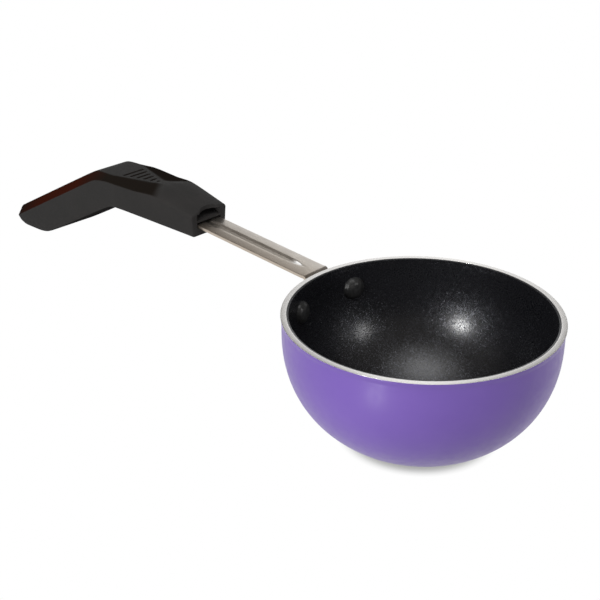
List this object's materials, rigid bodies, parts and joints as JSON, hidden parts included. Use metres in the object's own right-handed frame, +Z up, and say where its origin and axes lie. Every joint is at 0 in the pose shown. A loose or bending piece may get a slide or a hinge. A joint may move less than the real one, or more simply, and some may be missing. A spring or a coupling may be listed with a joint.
{
  "type": "tadka pan",
  "caption": "Small deep round pan for tempering spices: a painted bowl with a dark non-stick lining, riveted to a flat steel strap that ends in a bent moulded grip.",
  "frame": {"origin": "centre of the bowl's flat underside", "axes": "+Z up along the bowl's axis, +X out along the handle, the XZ plane is the mirror plane"},
  "size_m": [0.3391, 0.12, 0.075],
  "materials": {
    "bowl_metal": "bare pressed aluminium, bright on the turned rim",
    "outer_paint": "violet coat with a soft gloss",
    "nonstick_lining": "dark non-stick coat with fine metal flakes",
    "strap_steel": "brushed along its length",
    "rivet_metal": "dark non-stick coat on the heads",
    "grip_moulding": "black moulded resin with a satin skin",
    "screw_steel": "plain steel"
  },
  "bodies": {
    "root": {"bowl": "bowl_metal", "outer_paint": "outer_paint", "nonstick_lining": "nonstick_lining", "handle_strap": "strap_steel", "rivet_left": "rivet_metal", "rivet_right": "rivet_metal", "grip": "grip_moulding", "grip_screw": "screw_steel"}
  },
  "joints": []
}
